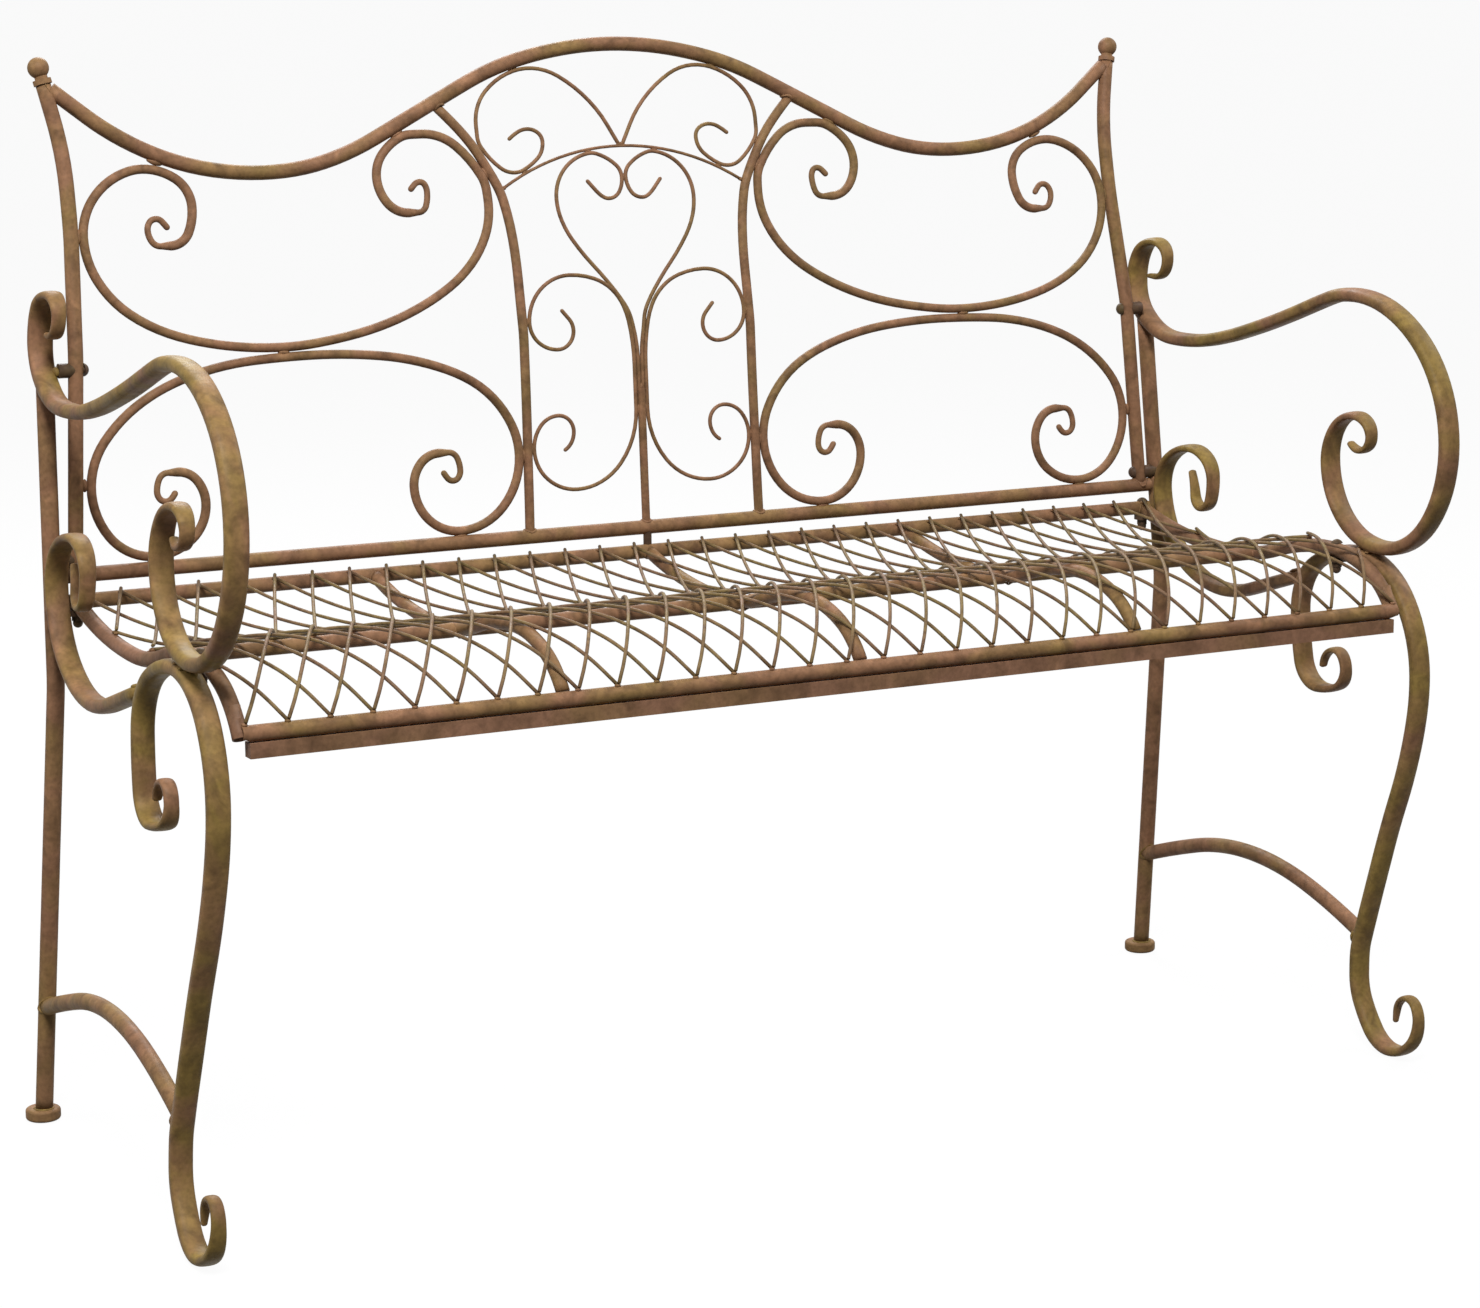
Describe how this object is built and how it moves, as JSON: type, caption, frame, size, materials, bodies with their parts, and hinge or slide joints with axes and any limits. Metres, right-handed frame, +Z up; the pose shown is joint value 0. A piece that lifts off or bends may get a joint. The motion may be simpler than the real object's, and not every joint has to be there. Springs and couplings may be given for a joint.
{
  "type": "garden bench",
  "caption": "Garden bench of bent steel tube with scrolled arms and legs, a scrollwork back and a dished seat of crossed wires, in a mottled bronze-look paint.",
  "frame": {"origin": "on the floor under the middle of the bench's width and depth", "axes": "+X to the right when the bench is seen from its front, along its width, +Y towards its back, +Z up; the bench faces -Y"},
  "size_m": [1.232, 0.5544, 0.9691],
  "materials": {
    "tube_paint": "satin, mottled antique bronze",
    "strip_paint": "satin, mottled antique bronze",
    "rod_paint": "satin, mottled antique bronze",
    "wire_paint": "satin, mottled antique bronze",
    "dark_paint": "satin, dark bronze"
  },
  "bodies": {
    "root": {"back_top_rail": "tube_paint", "back_bottom_rail": "tube_paint", "back_upright_left": "tube_paint", "back_upright_right": "tube_paint", "finial_left": "tube_paint", "finial_right": "tube_paint", "rear_leg_left": "tube_paint", "rear_leg_right": "tube_paint", "stretcher_left": "tube_paint", "stretcher_right": "tube_paint", "seat_front_rail": "tube_paint", "seat_middle_rail": "tube_paint", "seat_rear_rail": "tube_paint", "seat_side_rail_left": "tube_paint", "seat_side_rail_right": "tube_paint", "seat_cross_members": "tube_paint", "seat_front_bar": "tube_paint", "rear_foot_left": "tube_paint", "rear_foot_right": "tube_paint", "arm_left": "strip_paint", "arm_right": "strip_paint", "front_leg_left": "strip_paint", "front_leg_right": "strip_paint", "s_scroll_left": "strip_paint", "s_scroll_right": "strip_paint", "inner_vertical_left": "rod_paint", "inner_vertical_right": "rod_paint", "upper_scroll_left": "rod_paint", "upper_scroll_right": "rod_paint", "lower_scroll_left": "rod_paint", "lower_scroll_right": "rod_paint", "center_rod": "rod_paint", "heart_rod_left": "rod_paint", "heart_rod_right": "rod_paint", "center_scroll_left": "rod_paint", "center_scroll_right": "rod_paint", "center_arc": "rod_paint", "top_volute_left": "rod_paint", "top_volute_right": "rod_paint", "seat_wires_lower": "wire_paint", "seat_wires_upper": "wire_paint", "back_rest_pin": "dark_paint", "bolt_bosses_left": "dark_paint", "bolt_bosses_right": "dark_paint", "seat_lugs_left": "dark_paint", "seat_lugs_right": "dark_paint", "back_bolts": "dark_paint", "seat_bolts": "dark_paint", "seat_nuts": "dark_paint"}
  },
  "joints": []
}
